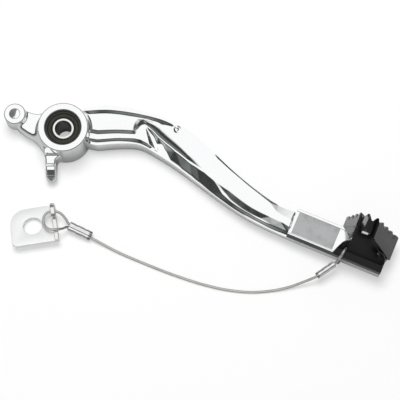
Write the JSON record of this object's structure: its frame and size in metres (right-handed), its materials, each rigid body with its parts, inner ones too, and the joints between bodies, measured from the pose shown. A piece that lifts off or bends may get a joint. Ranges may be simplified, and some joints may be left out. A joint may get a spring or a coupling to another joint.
{
  "type": "rear brake pedal",
  "caption": "Forged rear brake pedal with needle bearing pivot, toothed steel step, and a wire safety cable ending in a bent frame tab.",
  "frame": {"origin": "on the pivot axis, at the inboard end of the pivot sleeve and inboard face of the boss", "axes": "+Z outboard along the pivot axis, +X forward from the pivot to the step, +Y up on the motorbike; the pedal lies on its inboard side"},
  "size_m": [0.2409, 0.116, 0.04],
  "materials": {
    "forged_alloy": "polished",
    "sleeve_steel": "ground",
    "bearing_steel": "ground",
    "cage_steel": "pressed",
    "seal_rubber": "satin",
    "step_black": "gloss black",
    "screw_steel": "black oxide",
    "wire": "stranded",
    "crimp_alloy": "pressed",
    "tab_steel": "zinc plated"
  },
  "bodies": {
    "pedal": {"pedal_arm": "forged_alloy", "bearing_cup": "bearing_steel", "seal_outboard": "seal_rubber", "seal_inboard": "seal_rubber", "step": "step_black", "step_screws": "screw_steel", "cable": "wire", "ferrule_step": "crimp_alloy", "ferrule_tab": "crimp_alloy"},
    "sleeve": {"pivot_sleeve": "sleeve_steel"},
    "cage": {"bearing_cage": "cage_steel", "bearing_needles": "bearing_steel"},
    "tab": {"anchor_tab": "tab_steel"}
  },
  "joints": [
    {"name": "sleeve_turn", "type": "hinge", "parent": "pedal", "child": "sleeve", "pos_m": [0, 0, 0], "axis": [0, 0, 1], "continuous": true},
    {"name": "cage_turn", "type": "hinge", "parent": "pedal", "child": "cage", "pos_m": [0, 0, 0.0115], "axis": [0, 0, 1], "continuous": true},
    {"name": "tab_swing", "type": "hinge", "parent": "pedal", "child": "tab", "pos_m": [-0.0063, -0.0488, 0.00939], "axis": [0.9877, 0.1564, 0], "range_deg": [0, 70]}
  ],
  "couplings": [
    {"joint": "cage_turn", "follows": "sleeve_turn", "ratio": 0.4337}
  ]
}
